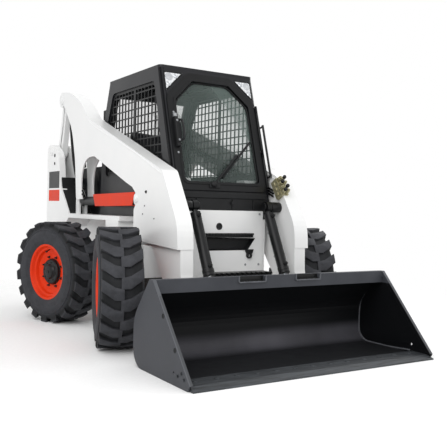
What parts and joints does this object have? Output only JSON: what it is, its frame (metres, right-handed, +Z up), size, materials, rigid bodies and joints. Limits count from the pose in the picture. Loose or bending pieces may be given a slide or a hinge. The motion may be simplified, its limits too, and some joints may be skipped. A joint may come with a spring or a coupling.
{
  "type": "all-wheel-steer loader",
  "caption": "Compact wheeled loader: glazed cab between lift arms on rear links, front bucket on a tilting hitch, steered lugged wheels and a rear engine bay.",
  "frame": {"origin": "on the ground, under the middle of the box over the whole machine with its bucket down", "axes": "+X to the machine's left, +Y to its rear, +Z up; the bucket faces -Y"},
  "size_m": [2.1376, 3.574, 2.061],
  "materials": {
    "white_paint": "gloss",
    "charcoal_paint": "satin",
    "orange_paint": "gloss",
    "black_steel": "satin",
    "bucket_paint": "satin",
    "worn_steel": "worn",
    "cast_iron": "rough",
    "chrome_rod": "polished",
    "black_plastic": "matte",
    "seat_cover": "grained",
    "brass": "dull",
    "red_lens": "clear",
    "clear_lens": "clear",
    "glass": "clear",
    "tyre": "moulded"
  },
  "bodies": {
    "chassis": {"frame_sides": "white_paint", "frame_floors": "charcoal_paint", "towers": "white_paint", "side_decks": "white_paint", "front_panel": "white_paint", "door_sill": "black_plastic", "axles": "cast_iron", "engine": "cast_iron", "hood": "charcoal_paint", "tail_lamps": "red_lens", "cab_frame": "charcoal_paint", "cab_roof": "charcoal_paint", "side_grilles": "black_steel", "rear_window": "glass", "cab_lamps": "clear_lens", "seat_base": "charcoal_paint", "seat_cushion": "seat_cover", "seat_back": "seat_cover", "controls": "black_plastic", "grab_handle": "black_steel"},
    "door": {"door_frame": "black_steel", "door_glass": "glass", "door_handle": "black_plastic"},
    "rear_door": {"tailgate": "white_paint"},
    "link": {"rear_links": "white_paint"},
    "boom": {"boom_arms": "white_paint", "boom_beams": "white_paint", "front_step": "black_steel", "tilt_pins": "black_steel", "coupler_block": "brass"},
    "lift_barrel": {"lift_barrels": "black_steel", "lift_guards": "orange_paint"},
    "lift_rod": {"lift_rods": "chrome_rod"},
    "tilt_barrel": {"tilt_barrels": "black_steel"},
    "tilt_rod": {"tilt_rods": "chrome_rod"},
    "bucket": {"bucket_shell": "bucket_paint", "cutting_edge": "worn_steel", "hitch_plate": "black_steel"},
    "knuckle_fl": {"knuckle_fl": "cast_iron"},
    "wheel_fl": {"rim_fl": "orange_paint", "tyre_fl": "tyre"},
    "knuckle_fr": {"knuckle_fr": "cast_iron"},
    "wheel_fr": {"rim_fr": "orange_paint", "tyre_fr": "tyre"},
    "knuckle_rl": {"knuckle_rl": "cast_iron"},
    "wheel_rl": {"rim_rl": "orange_paint", "tyre_rl": "tyre"},
    "knuckle_rr": {"knuckle_rr": "cast_iron"},
    "wheel_rr": {"rim_rr": "orange_paint", "tyre_rr": "tyre"}
  },
  "joints": [
    {"name": "link_swing", "type": "hinge", "parent": "chassis", "child": "link", "pos_m": [0, 1.651, 1.5], "axis": [-1, 0, 0], "range_deg": [0, 20.1]},
    {"name": "boom_lift", "type": "hinge", "parent": "link", "child": "boom", "pos_m": [0, 1.511, 1.985], "axis": [-1, 0, 0], "range_deg": [0, 38]},
    {"name": "lift_barrel_swing", "type": "hinge", "parent": "chassis", "child": "lift_barrel", "pos_m": [0, 1.101, 1.02], "axis": [-1, 0, 0], "range_deg": [0, 61.5]},
    {"name": "lift_rod_slide", "type": "slide", "parent": "lift_barrel", "child": "lift_rod", "axis": [0, -0.9999, 0.0153], "range_m": [0, 0.93]},
    {"name": "bucket_tilt", "type": "hinge", "parent": "boom", "child": "bucket", "pos_m": [0, -0.929, 0.235], "axis": [1, 0, 0], "range_deg": [-25, 45]},
    {"name": "tilt_barrel_swing", "type": "hinge", "parent": "boom", "child": "tilt_barrel", "pos_m": [0, -0.669, 1], "axis": [-1, 0, 0], "range_deg": [-6, 6.5]},
    {"name": "tilt_rod_slide", "type": "slide", "parent": "tilt_barrel", "child": "tilt_rod", "axis": [0, -0.446, -0.895], "range_m": [-0.06, 0.1]},
    {"name": "steer_fl", "type": "hinge", "parent": "chassis", "child": "knuckle_fl", "pos_m": [0.813, -0.479, 0.42], "axis": [0, 0, 1], "range_deg": [-2.5, 37.5]},
    {"name": "steer_fr", "type": "hinge", "parent": "chassis", "child": "knuckle_fr", "pos_m": [-0.813, -0.479, 0.42], "axis": [0, 0, 1], "range_deg": [-2.5, 37.5]},
    {"name": "steer_rl", "type": "hinge", "parent": "chassis", "child": "knuckle_rl", "pos_m": [0.813, 0.759, 0.42], "axis": [0, 0, 1], "range_deg": [-37.5, 2.5]},
    {"name": "steer_rr", "type": "hinge", "parent": "chassis", "child": "knuckle_rr", "pos_m": [-0.813, 0.759, 0.42], "axis": [0, 0, 1], "range_deg": [-37.5, 2.5]},
    {"name": "roll_fl", "type": "hinge", "parent": "knuckle_fl", "child": "wheel_fl", "pos_m": [0.813, -0.479, 0.42], "axis": [0.9537, -0.3007, 0], "continuous": true},
    {"name": "roll_fr", "type": "hinge", "parent": "knuckle_fr", "child": "wheel_fr", "pos_m": [-0.813, -0.479, 0.42], "axis": [0.9537, -0.3007, 0], "continuous": true},
    {"name": "roll_rl", "type": "hinge", "parent": "knuckle_rl", "child": "wheel_rl", "pos_m": [0.813, 0.759, 0.42], "axis": [0.9537, 0.3007, 0], "continuous": true},
    {"name": "roll_rr", "type": "hinge", "parent": "knuckle_rr", "child": "wheel_rr", "pos_m": [-0.813, 0.759, 0.42], "axis": [0.9537, 0.3007, 0], "continuous": true},
    {"name": "door_swing", "type": "hinge", "parent": "chassis", "child": "door", "pos_m": [0.398, -0.46412, 1.4927], "axis": [0, 0.2904, 0.9569], "range_deg": [0, 85]},
    {"name": "rear_door_swing", "type": "hinge", "parent": "chassis", "child": "rear_door", "pos_m": [0.373, 1.783, 0.8], "axis": [0, 0, -1], "range_deg": [0, 100]}
  ],
  "couplings": [
    {"joint": "link_swing", "follows": "boom_lift", "ratio": 0.52632},
    {"joint": "lift_barrel_swing", "follows": "boom_lift", "ratio": 1.6071},
    {"joint": "lift_rod_slide", "follows": "boom_lift", "m_per_rad": 1.3913},
    {"joint": "tilt_barrel_swing", "follows": "bucket_tilt", "ratio": 0.13442},
    {"joint": "tilt_rod_slide", "follows": "bucket_tilt", "m_per_rad": 0.11834},
    {"joint": "steer_fr", "follows": "steer_fl", "ratio": 1},
    {"joint": "steer_rl", "follows": "steer_fl", "ratio": -1},
    {"joint": "steer_rr", "follows": "steer_fl", "ratio": -1}
  ]
}
